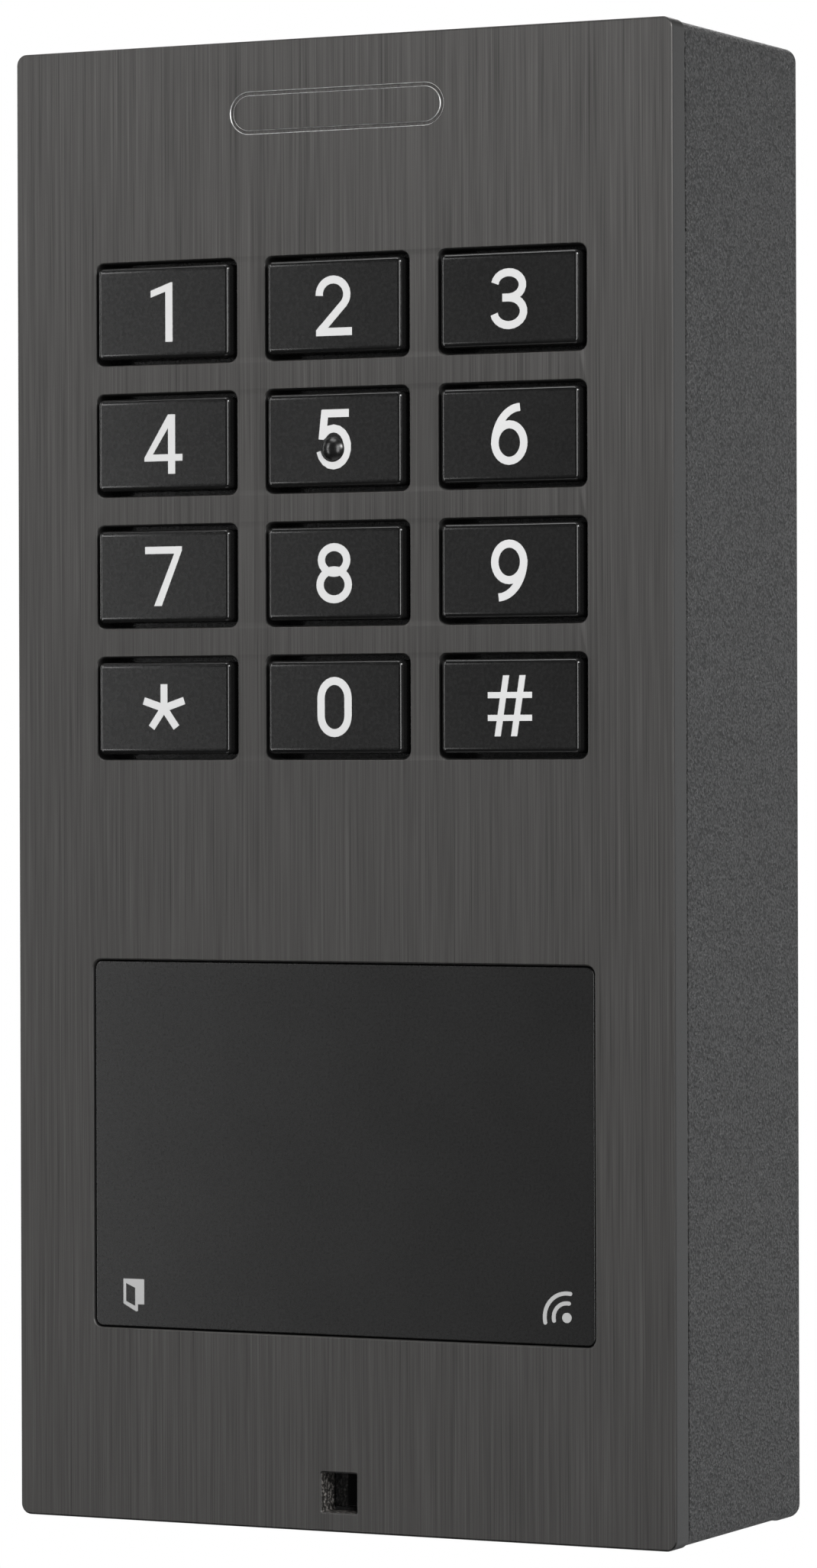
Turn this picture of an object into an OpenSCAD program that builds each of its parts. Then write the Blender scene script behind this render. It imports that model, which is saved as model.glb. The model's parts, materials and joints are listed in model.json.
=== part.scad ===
// Surface-mounted access reader with a twelve-key pad and a card reading window.
// Frame: +X to the right seen from the front, the front faces -Y, +Z up.
// The origin is the centre of the rear face, where the housing meets the wall.

/* [Body] */
// Width of the front plate
body_w = 80; // [76:1:92]
// Height of the front plate
body_h = 163; // [158:1:180]
// Depth from the plate's front to the wall
body_d = 34.3; // [33:0.1:42]
// Thickness of the front plate
plate_t = 3.3; // [3:0.1:3.5]
// Corner radius of the front plate
plate_r = 1.2; // [0.8:0.1:3]
// Corner radius of the housing
housing_r = 1.6; // [1.2:0.1:4]
// Thickness of the housing's side walls
wall_t = 2.4; // [2:0.1:2.6]

/* [Keypad] */
// Distance between key columns
key_pitch_x = 21.1; // [20:0.1:22.5]
// Distance between key rows
key_pitch_z = 14.55; // [14:0.05:15.5]
// Height of the top row's centre above the middle of the plate
key_top_z = 52.1; // [48:0.1:56]
// Width of a key's opening in the plate
key_hole_w = 17.56; // [16:0.02:18]
// Height of a key's opening in the plate
key_hole_h = 11.29; // [10.5:0.01:12]
// Gap between a keycap and its opening
key_gap = 0.56; // [0.3:0.02:0.8]
// Height of a keycap above the plate
key_proud = 0.75; // [0.7:0.05:1]
// Travel of a key
key_travel = 0.7; // [0.3:0.05:0.7]

/* [Reading window] */
// Width of the window's opening
window_w = 61.2; // [55:0.1:64]
// Height of the window's opening
window_h = 40.8; // [35:0.1:44]
// Distance from the middle of the plate down to the window's centre
window_drop = 39.8; // [38:0.1:42]
// Depth of the window's face behind the plate's front
window_recess = 0.28; // [0.1:0.02:0.6]

/* [Wall fixing] */
// Horizontal distance between the wall screw holes
wall_hole_x = 56; // [50:1:60]
// Vertical distance between the wall screw holes
wall_hole_z = 120; // [100:1:130]
// Radius of the wall screw holes
wall_hole_r = 2.25; // [2:0.05:2.75]
// Radius of the cable entry in the grommet
cable_r = 3; // [2.5:0.1:4]

/* [Hidden] */
$fn = 48;

// Colours
plate_colour = [0.29, 0.29, 0.285];
housing_colour = [0.27, 0.27, 0.28];
key_colour = [0.17, 0.17, 0.175];
legend_colour = [0.86, 0.86, 0.86];
window_colour = [0.16, 0.16, 0.165];
board_colour = [0.07, 0.27, 0.16];
steel_colour = [0.7, 0.7, 0.7];
brass_colour = [0.72, 0.56, 0.28];
rubber_colour = [0.08, 0.08, 0.08];
plastic_colour = [0.12, 0.12, 0.13];
copper_colour = [0.72, 0.42, 0.24];

// Depths are measured backwards from the plate's front face
gasket_t = 0.25;
housing_front = plate_t + gasket_t;
rear_t = 2.8;
rear_inner = body_d - rear_t;
rear_round = 0.4;
housing_inset = 0.03;
housing_w = body_w - 2 * housing_inset;
housing_h = body_h - 2 * housing_inset;
inner_w = housing_w - 2 * wall_t;
inner_h = housing_h - 2 * wall_t;
inner_r = 1;

// Lip along the bottom of the housing at its rear
lip_rise = 0.18;
lip_d = 4.3;
lip_h = 5;

// Keys
key_w = key_hole_w - 2 * key_gap;
key_h = key_hole_h - 2 * key_gap;
key_r = 0.6;
key_hole_r = 0.9;
key_flange = 1.6;
key_flange_t = 0.9;
key_skin = 1.2;
stem_r = 1.7;
stem_end = 6.2;
pad_z = key_top_z - 1.5 * key_pitch_z;
key_led_x = 6;
dot_r = 1.4;
dot_rise = 0.7;
dot_drop = 1;
dot_x = -0.15;

// Window, its light and the square sensor opening
window_gap = 0.15;
window_r = 1;
window_flange = 3;
window_flange_r = 2;
seal_t = 0.3;
seal_w = 1.4;
window_back = plate_t + seal_t + 1;
window_z = -window_drop;
print_t = 0.05;
door_symbol_x = -25.7;
wave_symbol_x = 27.15;
symbol_z = -56.5;
wave_half = 0.22;
wave_from = 81;
wave_to = 193;
aperture = 4.3;
aperture_x = -0.15;
aperture_z = -77.2;

// Boards
dome_front = stem_end + key_travel + 0.1;
mat_front = dome_front + 0.4;
keypad_board_front = mat_front + 1.2;
keypad_board_back = keypad_board_front + 1.6;
antenna_board_front = 5;
antenna_board_back = 6;
main_board_front = 13.6;
main_board_back = 15.2;

// Carrier frame, which holds the boards behind the plate
carrier_w = inner_w - 1.4;
carrier_h = inner_h - 1.6;
carrier_wall = 1.8;
carrier_front = 4.9;
carrier_back = 26;
cover_back = carrier_back + 1.6;
lug_w = 13;
lug_h = 14;
stud_x = carrier_w / 2 - 5.5;
stud_z = carrier_h / 2 - 5;
stud_r = 1.5;
post_x = carrier_w / 2 - 10.6;
post_z = carrier_h / 2 - 11;
cover_post_x = 27;
cover_post_z = carrier_h / 2 - 3.6;
hook_x = 12;
hook_depth = 12;
hook_w = 10;
hook_t = 2;

// Rear wall fittings
cable_z = 20;
grommet_r = 7;
plunger_x = 20;
plunger_z = -30;
plunger_r = 2.4;
lock_depth = 21;
lock_head_r = 2.7;

// Blank name field at the top of the plate
field_w = 26;
field_h = 4.6;
field_z = 73.6;
field_line = 0.35;
field_depth = 0.2;

// --- Shared shapes -----------------------------------------------------------

// Extrudes a shape drawn in the X-Z plane between two depths behind the plate's front
module at_depth(near, far) {
  translate([0, far - body_d, 0])
    rotate([90, 0, 0])
      linear_extrude(far - near)
        children();
}

module round_rect(w, h, r) {
  square([w, h - 2 * r], center = true);
  square([w - 2 * r, h], center = true);
  for (sx = [-1, 1], sz = [-1, 1])
    translate([sx * (w / 2 - r), sz * (h / 2 - r)]) circle(r);
}

module ring_rect(w, h, r, line) {
  difference() {
    round_rect(w, h, r);
    round_rect(w - 2 * line, h - 2 * line, max(r - line, 0.2));
  }
}

module slab(x, z, near, far, w, h, r) {
  at_depth(near, far) translate([x, z]) round_rect(w, h, r);
}

module rod(x, z, near, far, r) {
  at_depth(near, far) translate([x, z]) circle(r);
}

module at_corners(x, z) {
  for (sx = [-1, 1], sz = [-1, 1]) translate([sx * x, 0, sz * z]) children();
}

function key_x(column) = (column - 1) * key_pitch_x;
function key_z(row) = key_top_z - row * key_pitch_z;

module at_keys() {
  for (row = [0 : 3], column = [0 : 2]) translate([key_x(column), key_z(row)]) children();
}

// --- Numerals, drawn as strokes of one width --------------------------------

glyph_h = 6.55;
glyph_w = 4.4;
stroke = 0.87;
half = stroke / 2;
reach_x = glyph_w / 2 - half;
reach_z = glyph_h / 2 - half;

function arc(cx, cz, rx, rz, from, to, steps = 16) =
  [for (i = [0 : steps]) let (a = from + (to - from) * i / steps) [cx + rx * cos(a), cz + rz * sin(a)]];

function side_step(a, b) = let (d = b - a) [-d[1], d[0]] / norm(d);

// Points at a set distance to the left of a path
function beside(path, off) =
  [for (i = [0 : len(path) - 1])
    path[i] + off * side_step(path[max(i - 1, 0)], path[min(i + 1, len(path) - 1)])];

function beside_loop(path, off) = let (n = len(path))
  [for (i = [0 : n - 1]) path[i] + off * side_step(path[(i + n - 1) % n], path[(i + 1) % n])];

function reversed(path) = [for (i = [len(path) - 1 : -1 : 0]) path[i]];

function oval(cx, cz, rx, rz, straight = 0, steps = 14) = concat(
  arc(cx, cz + straight, rx, rz, 0, 180, steps),
  straight == 0
    ? [for (p = arc(cx, cz, rx, rz, 180, 360, steps)) if (p[1] < cz - 0.001) p]
    : arc(cx, cz - straight, rx, rz, 180, 360, steps));

module line(path) {
  polygon(concat(beside(path, -half), reversed(beside(path, half))));
}

module loop(path) {
  difference() {
    polygon(beside_loop(path, -half));
    polygon(beside_loop(path, half));
  }
}

module bar(x0, x1, z0, z1) {
  translate([x0, z0]) square([x1 - x0, z1 - z0]);
}

module numeral_0() {
  loop(oval(0, 0, reach_x - 0.12, reach_z - 0.95, 0.95));
}

module numeral_1() {
  polygon([[1.21, -glyph_h / 2], [1.21, glyph_h / 2], [1, glyph_h / 2], [-1.5, 2.42], [-1.5, 1.66],
    [0.34, 2.26], [0.34, -glyph_h / 2]]);
}

module numeral_2() {
  line(concat(arc(-0.03, reach_z - 1.62, reach_x - 0.08, 1.62, 184, -38), [[-1.4, -reach_z + 0.3]]));
  polygon([[-2.1, -reach_z - half], [2.25, -reach_z - half], [2.25, -reach_z + half],
    [-0.95, -reach_z + half],
    [-1.6, -reach_z + 0.75], [-2.1, -reach_z + 0.2]]);
}

module numeral_3() {
  waist = 0.13;
  line(arc(0, (reach_z + waist) / 2, reach_x - 0.12, (reach_z - waist) / 2, 172, -90));
  line(arc(0, (waist - reach_z) / 2, reach_x, (reach_z + waist) / 2, 90, -170));
  bar(-0.75, 0.1, waist - half, waist + half);
}

module numeral_4() {
  bar(0.62, 0.62 + stroke, -glyph_h / 2, glyph_h / 2);
  bar(-1.5, 2.4, -1.86, -1.1);
  polygon([[1.1, glyph_h / 2], [0.62, glyph_h / 2], [-2.35, -1.46], [-2.35, -1.86], [-1.4, -1.86],
    [-1.3, -1.1], [0.75, 2]]);
}

module numeral_5() {
  bar(-1.42, 1.85, reach_z - half, reach_z + half);
  line([[-1.05, reach_z + half - 0.1], [-1.4, 0]]);
  line(arc(-0.02, 2.02 - reach_z, reach_x - 0.07, 2.02, 148, -168));
}

module numeral_6() {
  loop(oval(0.03, 1.96 - reach_z, reach_x - 0.05, 1.96));
  line(arc(1.4, 1.7 - reach_z, 3.1, 4.06, 180, 92));
}

module numeral_7() {
  polygon([[2.3, glyph_h / 2], [-2.3, glyph_h / 2], [-2.3, glyph_h / 2 - 0.8], [1.35, glyph_h / 2 - 0.8],
    [-1.18, -glyph_h / 2], [-0.24, -glyph_h / 2], [2.3, glyph_h / 2 - 0.45]]);
}

module numeral_8() {
  loop(oval(0, reach_z - 1.4, reach_x - 0.22, 1.4));
  loop(oval(0, 1.58 - reach_z, reach_x - 0.04, 1.58));
}

module numeral_9() {
  rotate(180) numeral_6();
}

module star_sign() {
  for (a = [90 : 72 : 378]) rotate(a) translate([0, -0.42]) square([2.65, 0.84]);
}

module hash_sign() {
  for (x = [-1, 0.95])
    polygon([[x - 0.82, -glyph_h / 2], [x - 0.1, -glyph_h / 2],
      [x + 0.92, glyph_h / 2], [x + 0.2, glyph_h / 2]]);
  for (z = [-1.3, 1.15]) bar(-2.62, 2.62, z - 0.33, z + 0.33);
}

// --- Front plate and what is fixed to it -------------------------------------

module front_plate() {
  color(plate_colour)
    difference() {
      slab(0, 0, 0, plate_t, body_w, body_h, plate_r);
      at_depth(-1, plate_t + 1) at_keys() round_rect(key_hole_w, key_hole_h, key_hole_r);
      slab(0, window_z, -1, plate_t + 1, window_w, window_h, window_r);
      at_depth(-1, plate_t + 1)
        translate([aperture_x, aperture_z]) square(aperture, center = true);
      at_depth(-1, field_depth)
        translate([0, field_z]) ring_rect(field_w, field_h, field_h / 2 - 0.01, field_line);
    }
}

module plate_studs() {
  color(steel_colour) at_corners(stud_x, stud_z) rod(0, 0, plate_t, 14.5, stud_r);
}

module stud_nuts() {
  color(brass_colour)
    at_corners(stud_x, stud_z)
      at_depth(keypad_board_back, 12.6)
        difference() {
          circle(3.1, $fn = 6);
          circle(stud_r + 0.02);
        }
}

module plate_gasket() {
  color(rubber_colour)
    at_depth(plate_t, housing_front) ring_rect(body_w - 1.6, body_h - 1.6, 1.2, 1.5);
}

module reader_window() {
  color(window_colour) {
    slab(0, window_z, window_recess, plate_t + seal_t, window_w - 2 * window_gap,
      window_h - 2 * window_gap, window_r - window_gap);
    slab(0, window_z, plate_t + seal_t, window_back, window_w + window_flange,
      window_h + window_flange, window_flange_r);
  }
}

module window_seal() {
  color(rubber_colour)
    at_depth(plate_t, plate_t + seal_t)
      translate([0, window_z])
        ring_rect(window_w + window_flange, window_h + window_flange, window_flange_r, seal_w);
}

// A doorway whose leaf stands open towards the viewer
module door_symbol() {
  color(legend_colour)
    at_depth(window_recess - print_t, window_recess)
      translate([door_symbol_x, symbol_z])
        difference() {
          polygon([[-1.3, 1.75], [-1.3, -1], [0.3, -1.85], [0.5, -1.8],
            [0.5, -1.05], [1.3, -1.05], [1.3, 1.75]]);
          polygon([[-0.98, 1.26], [-0.98, -0.74], [0.18, -1.25], [0.18, 0.77]]);
        }
}

// A dot with two waves
module wave_symbol() {
  color(legend_colour)
    at_depth(window_recess - print_t, window_recess)
      translate([wave_symbol_x, symbol_z - 0.6]) {
        circle(0.55);
        for (r = [1.56, 2.62]) {
          polygon(concat(
            arc(0, 0, r + wave_half, r + wave_half, wave_from, wave_to),
            reversed(arc(0, 0, r - wave_half, r - wave_half, wave_from, wave_to))));
          for (a = [wave_from, wave_to]) translate([r * cos(a), r * sin(a)]) circle(wave_half);
        }
      }
}

module icon_leds() {
  color("white")
    for (x = [door_symbol_x, wave_symbol_x - 0.7])
      slab(x, symbol_z, window_back + 0.1, antenna_board_front, 1.6, 0.9, 0.1);
}

module antenna_board() {
  color(board_colour)
    slab(0, window_z, antenna_board_front, antenna_board_back, 62, 41, 1.5);
}

module antenna_coil() {
  color(copper_colour)
    at_depth(antenna_board_back, antenna_board_back + 0.15)
      translate([0, window_z])
        for (turn = [0 : 3]) ring_rect(59 - 3.2 * turn, 38 - 3.2 * turn, 3, 0.9);
}

module ferrite_sheet() {
  color([0.15, 0.15, 0.16])
    slab(0, window_z, antenna_board_back + 0.2, antenna_board_back + 0.9, 60, 39, 1);
}

module sensor_lens() {
  color([0.05, 0.05, 0.06])
    slab(aperture_x, aperture_z + 0.9, plate_t, plate_t + 1, 8, 5.4, 0.8);
}

// --- Keys -------------------------------------------------------------------

module key_cap(column, row) {
  color(key_colour)
    translate([key_x(column), 0, key_z(row)])
      difference() {
        union() {
          slab(0, 0, -key_proud, plate_t, key_w, key_h, key_r);
          slab(0, 0, plate_t, plate_t + key_flange_t, key_w + key_flange, key_h + key_flange, 1);
          rod(0, 0, plate_t, stem_end, stem_r);
        }
        at_depth(key_skin, plate_t + key_flange_t + 1)
          difference() {
            round_rect(key_w - 2.4, key_h - 2.4, 0.5);
            circle(stem_r);
          }
      }
}

module key_legend(column, row) {
  color(legend_colour)
    translate([key_x(column), 0, key_z(row)])
      at_depth(-key_proud - print_t, -key_proud) children();
}

module key_1() { key_cap(0, 0); }
module key_2() { key_cap(1, 0); }
module key_3() { key_cap(2, 0); }
module key_4() { key_cap(0, 1); }
module key_6() { key_cap(2, 1); }
module key_7() { key_cap(0, 2); }
module key_8() { key_cap(1, 2); }
module key_9() { key_cap(2, 2); }
module key_star() { key_cap(0, 3); }
module key_0() { key_cap(1, 3); }
module key_hash() { key_cap(2, 3); }

// The middle key has a raised dot for the fingertip
module key_5() {
  ball = (dot_r * dot_r + dot_rise * dot_rise) / (2 * dot_rise);
  key_cap(1, 1);
  color(key_colour)
    translate([key_x(1) + dot_x, -body_d - key_proud, key_z(1) - dot_drop])
      intersection() {
        translate([0, ball - dot_rise, 0]) sphere(ball);
        translate([0, 0.5 - dot_rise, 0]) cube([2 * ball, 1, 2 * ball], center = true);
      }
}

module legend_1() { key_legend(0, 0) numeral_1(); }
module legend_2() { key_legend(1, 0) numeral_2(); }
module legend_3() { key_legend(2, 0) numeral_3(); }
module legend_4() { key_legend(0, 1) numeral_4(); }
module legend_6() { key_legend(2, 1) numeral_6(); }
module legend_7() { key_legend(0, 2) numeral_7(); }
module legend_8() { key_legend(1, 2) numeral_8(); }
module legend_9() { key_legend(2, 2) numeral_9(); }
module legend_star() { key_legend(0, 3) star_sign(); }
module legend_0() { key_legend(1, 3) numeral_0(); }
module legend_hash() { key_legend(2, 3) hash_sign(); }

module legend_5() {
  key_legend(1, 1)
    difference() {
      numeral_5();
      translate([dot_x, -dot_drop]) circle(dot_r + 0.05);
    }
}

// --- Keypad circuit ----------------------------------------------------------

// Silicone sheet, with its domes at their pressed height
module keypad_mat() {
  color([0.75, 0.75, 0.76])
    difference() {
      union() {
        slab(0, pad_z, mat_front, keypad_board_front, 64, 60, 2);
        at_depth(dome_front, mat_front) at_keys() circle(3.2);
      }
      at_depth(mat_front + 0.5, keypad_board_front + 1) at_keys() circle(3.1);
      at_depth(mat_front - 1, keypad_board_front + 1) at_keys() translate([key_led_x, 0]) circle(1.4);
    }
}

module dome_contacts() {
  color(steel_colour)
    at_depth(keypad_board_front - 0.4, keypad_board_front) at_keys() circle(2.6);
}

module keypad_board() {
  color(board_colour)
    slab(0, pad_z, keypad_board_front, keypad_board_back, 67, 63, 1.5);
}

module key_leds() {
  color("white")
    at_depth(keypad_board_front - 0.7, keypad_board_front)
      at_keys() translate([key_led_x, 0]) square([1.6, 0.8], center = true);
}

// --- Carrier frame and main board ---------------------------------------------

module carrier_frame() {
  color(plastic_colour)
    difference() {
      union() {
        at_depth(carrier_front, carrier_back) ring_rect(carrier_w, carrier_h, 2, carrier_wall);
        at_corners(carrier_w / 2 - lug_w / 2, carrier_h / 2 - lug_h / 2)
          slab(0, 0, carrier_front, keypad_board_back, lug_w, lug_h, 1);
        at_corners(post_x, post_z) rod(0, 0, carrier_front, main_board_front, 2.6);
        at_corners(cover_post_x, cover_post_z)
          slab(0, 0, main_board_back + 1, carrier_back, 7, 5.4, 0.5);
      }
      at_corners(stud_x, stud_z) rod(0, 0, carrier_front - 1, keypad_board_back + 1, stud_r + 0.2);
      at_corners(post_x, post_z) rod(0, 0, 8, main_board_front + 1, 1.25);
      at_corners(cover_post_x, cover_post_z) rod(0, 0, 18, carrier_back + 1, 1.25);
      // Slots for the housing's two hooks
      for (side = [-1, 1])
        slab(side * hook_x, carrier_h / 2, hook_depth - 0.5, hook_depth + hook_t + 0.6, hook_w + 1, 6, 0.3);
      // Seat of the threaded insert in the bottom wall
      translate([0, lock_depth - body_d, -carrier_h / 2 - 1]) cylinder(r = 2.3, h = 4);
    }
}

module main_board() {
  color(board_colour)
    difference() {
      slab(0, 0, main_board_front, main_board_back, 62, 146, 1.5);
      at_corners(post_x, post_z) rod(0, 0, main_board_front - 1, main_board_back + 1, 1.6);
      at_corners(stud_x, stud_z) rod(0, 0, main_board_front - 1, main_board_back + 1, 4);
    }
}

module board_screws() {
  color(steel_colour)
    at_corners(post_x, post_z) {
      rod(0, 0, main_board_back, main_board_back + 1.6, 2.5);
      rod(0, 0, 9, main_board_back, 1.2);
    }
}

module board_link() {
  color(plastic_colour) slab(0, 2, keypad_board_back, main_board_front, 24, 5, 0.4);
}

module processor_shield() {
  color([0.78, 0.78, 0.8])
    difference() {
      slab(-12, 34, main_board_back, main_board_back + 2.6, 28, 24, 1);
      slab(-12, 34, main_board_back - 1, main_board_back + 2.3, 27.4, 23.4, 0.7);
    }
}

module capacitors() {
  color([0.1, 0.12, 0.2])
    for (z = [54, 44]) rod(22, z, main_board_back, main_board_back + 9, 4);
}

module relay() {
  color([0.1, 0.25, 0.5])
    slab(16, 6, main_board_back, main_board_back + 10, 19, 15.4, 0.6);
}

terminal_ways = 9;
terminal_pitch = 5;
terminal_w = terminal_ways * terminal_pitch + 1;
terminal_z = -62;

// Screw terminals for the supply, the lock and the data line
module terminal_block() {
  color([0.12, 0.4, 0.25])
    difference() {
      slab(0, terminal_z, main_board_back, main_board_back + 9.5, terminal_w, 8, 0.4);
      for (way = [0 : terminal_ways - 1]) {
        x = (way - (terminal_ways - 1) / 2) * terminal_pitch;
        rod(x, terminal_z + 0.8, main_board_back + 6, main_board_back + 11, 2);
        translate([x - 1.7, main_board_back + 1.2 - body_d, terminal_z - 5]) cube([3.4, 3.4, 4.5]);
      }
    }
}

module terminal_screws() {
  color(steel_colour)
    for (way = [0 : terminal_ways - 1]) {
      x = (way - (terminal_ways - 1) / 2) * terminal_pitch;
      difference() {
        rod(x, terminal_z + 0.8, main_board_back + 6, main_board_back + 8, 1.9);
        slab(x, terminal_z + 0.8, main_board_back + 7.3, main_board_back + 9, 5, 0.6, 0.1);
      }
    }
}

module buzzer() {
  color(plastic_colour)
    difference() {
      rod(-18, -8, main_board_back, main_board_back + 7.5, 6);
      rod(-18, -8, main_board_back + 6.5, main_board_back + 9, 1);
    }
}

module tamper_switch() {
  color(plastic_colour)
    slab(plunger_x, plunger_z, main_board_back, main_board_back + 5.8, 10, 6.4, 0.3);
  color("ivory")
    rod(plunger_x, plunger_z, main_board_back + 5.8, main_board_back + 6.4, 1.2);
}

// Presses the switch while the housing lies against its wall
module tamper_plunger() {
  color("ivory") {
    rod(plunger_x, plunger_z, main_board_back + 7.1, 28.6, 1.5);
    rod(plunger_x, plunger_z, 28.6, 30, 3.6);
    rod(plunger_x, plunger_z, 30, body_d - 0.1, plunger_r);
  }
}

module rear_cover() {
  color(plastic_colour)
    difference() {
      slab(0, 0, carrier_back, cover_back, carrier_w, carrier_h, 2);
      slab(0, terminal_z, carrier_back - 1, cover_back + 1, terminal_w + 3, 14, 1);
      rod(plunger_x, plunger_z, carrier_back - 1, cover_back + 1, 1.9);
      at_corners(cover_post_x, cover_post_z)
        rod(0, 0, carrier_back - 1, cover_back + 1, 1.5);
      for (row = [0 : 5]) slab(-12, 24 + 4 * row, carrier_back - 1, cover_back + 1, 22, 1.6, 0.7);
    }
}

module cover_screws() {
  color(steel_colour)
    at_corners(cover_post_x, cover_post_z) {
      rod(0, 0, cover_back, cover_back + 1.5, 2.4);
      rod(0, 0, 19, cover_back, 1.2);
    }
}

// --- Housing ------------------------------------------------------------------

// Outline of the housing from above or from the side, rounded at the rear
module depth_profile(width) {
  polygon(concat(
    [[-width / 2, housing_front - body_d]],
    reversed(arc(-width / 2 + rear_round, -rear_round, rear_round, rear_round, 90, 180, 6)),
    reversed(arc(width / 2 - rear_round, -rear_round, rear_round, rear_round, 0, 90, 6)),
    [[width / 2, housing_front - body_d]]));
}

module housing_outer() {
  intersection() {
    union() {
      slab(0, 0, housing_front, body_d, housing_w, housing_h, housing_r);
      slab(0, (lip_h - housing_h) / 2 - lip_rise, body_d - lip_d, body_d, housing_w, lip_h,
        housing_r);
    }
    translate([0, 0, -housing_h]) linear_extrude(2 * housing_h) depth_profile(housing_w);
    rotate([90, 0, 90])
      translate([0, 0, -housing_w])
        linear_extrude(2 * housing_w)
          rotate(90) mirror([0, 1])
            translate([-lip_rise / 2, 0]) depth_profile(housing_h + lip_rise);
  }
}

module housing() {
  hook_z = carrier_h / 2 - 2;
  color(housing_colour) {
    difference() {
      housing_outer();
      slab(0, 0, housing_front - 1, rear_inner, inner_w, inner_h, inner_r);
      at_corners(wall_hole_x / 2, wall_hole_z / 2)
        rod(0, 0, rear_inner - 1, body_d + 1, wall_hole_r);
      rod(0, cable_z, rear_inner - 1, body_d + 1, grommet_r);
      rod(0, cable_z, body_d - 1.2, body_d + 1, grommet_r + 1.6);
      rod(plunger_x, plunger_z, rear_inner - 1, body_d + 1, plunger_r + 0.15);
      // Sunk hole for the security screw in the bottom wall
      translate([0, lock_depth - body_d, -housing_h / 2 - 1]) {
        cylinder(r = 1.7, h = wall_t + 2);
        cylinder(r = lock_head_r + 0.2, h = 2.5);
      }
    }
    for (side = [-1, 1])
      translate([side * hook_x - hook_w / 2, hook_depth - body_d, hook_z])
        cube([hook_w, hook_t, inner_h / 2 + 0.2 - hook_z]);
  }
}

// Rubber bush that seals the cable where it leaves the rear wall
module cable_grommet() {
  color(rubber_colour)
    translate([0, 0, cable_z])
      rotate([90, 0, 0])
        rotate_extrude()
          polygon([
            [cable_r, 0.1], [grommet_r + 1.4, 0.1], [grommet_r + 1.4, 1.15],
            [grommet_r - 0.05, 1.15], [grommet_r - 0.05, rear_t + 0.05],
            [grommet_r + 1.4, rear_t + 0.05], [grommet_r + 0.6, rear_t + 1.2],
            [cable_r, rear_t + 1.2]]);
}

module security_insert() {
  color(brass_colour)
    translate([0, lock_depth - body_d, -carrier_h / 2])
      difference() {
        cylinder(r = 2.25, h = 2.8);
        translate([0, 0, -1]) cylinder(r = 1.5, h = 5);
      }
}

module security_screw() {
  color(steel_colour)
    translate([0, lock_depth - body_d, -housing_h / 2])
      difference() {
        union() {
          translate([0, 0, 0.1]) cylinder(r = lock_head_r, h = 1.4);
          translate([0, 0, 1.5]) cylinder(r = 1.45, h = 4.6);
        }
        // Six-lobe drive, drawn as a hexagon with its centre pin
        translate([0, 0, -1])
          difference() {
            cylinder(r = 1.5, h = 2, $fn = 6);
            cylinder(r = 0.45, h = 2);
          }
      }
}

// --- Assembly -----------------------------------------------------------------

front_plate();
plate_studs();
stud_nuts();
plate_gasket();
reader_window();
window_seal();
door_symbol();
wave_symbol();
icon_leds();
antenna_board();
antenna_coil();
ferrite_sheet();
sensor_lens();
key_1();
key_2();
key_3();
key_4();
key_5();
key_6();
key_7();
key_8();
key_9();
key_star();
key_0();
key_hash();
legend_1();
legend_2();
legend_3();
legend_4();
legend_5();
legend_6();
legend_7();
legend_8();
legend_9();
legend_star();
legend_0();
legend_hash();
keypad_mat();
dome_contacts();
keypad_board();
key_leds();
carrier_frame();
main_board();
board_screws();
board_link();
processor_shield();
capacitors();
relay();
terminal_block();
terminal_screws();
buzzer();
tamper_switch();
tamper_plunger();
rear_cover();
cover_screws();
housing();
cable_grommet();
security_insert();
security_screw();
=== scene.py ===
"""Looks of the keypad card reader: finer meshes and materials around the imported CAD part."""

import json
import math

import bmesh
import bpy
from mathutils import Matrix, Vector
from mathutils.geometry import tessellate_polygon


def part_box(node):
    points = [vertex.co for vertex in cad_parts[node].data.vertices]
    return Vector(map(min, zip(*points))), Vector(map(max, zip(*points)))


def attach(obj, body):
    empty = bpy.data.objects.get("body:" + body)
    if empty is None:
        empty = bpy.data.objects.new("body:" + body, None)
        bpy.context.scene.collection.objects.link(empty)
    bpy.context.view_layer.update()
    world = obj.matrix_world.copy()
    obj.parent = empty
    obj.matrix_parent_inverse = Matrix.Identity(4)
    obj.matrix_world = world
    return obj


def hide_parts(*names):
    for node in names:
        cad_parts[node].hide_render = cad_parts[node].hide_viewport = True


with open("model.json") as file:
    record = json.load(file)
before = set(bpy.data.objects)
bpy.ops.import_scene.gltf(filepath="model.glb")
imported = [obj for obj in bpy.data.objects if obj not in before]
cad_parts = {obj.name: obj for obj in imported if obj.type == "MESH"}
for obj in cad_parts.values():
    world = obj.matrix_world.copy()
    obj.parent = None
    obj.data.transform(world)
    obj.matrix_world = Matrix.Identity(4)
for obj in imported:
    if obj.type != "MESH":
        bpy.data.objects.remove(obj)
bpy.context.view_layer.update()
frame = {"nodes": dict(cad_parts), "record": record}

MM = 0.001
ARC_STEPS = 8
TIP = 0.001 * MM  # radius that closes a turned shape on its axis

# The reader's own sizes, read from the frame
PLATE_LOW, PLATE_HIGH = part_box("front_plate")
FRONT = PLATE_LOW.y
PLATE_W = PLATE_HIGH.x - PLATE_LOW.x
PLATE_H = PLATE_HIGH.z - PLATE_LOW.z
KEY_NAMES = ["1", "2", "3", "4", "5", "6", "7", "8", "9", "star", "0", "hash"]

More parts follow.
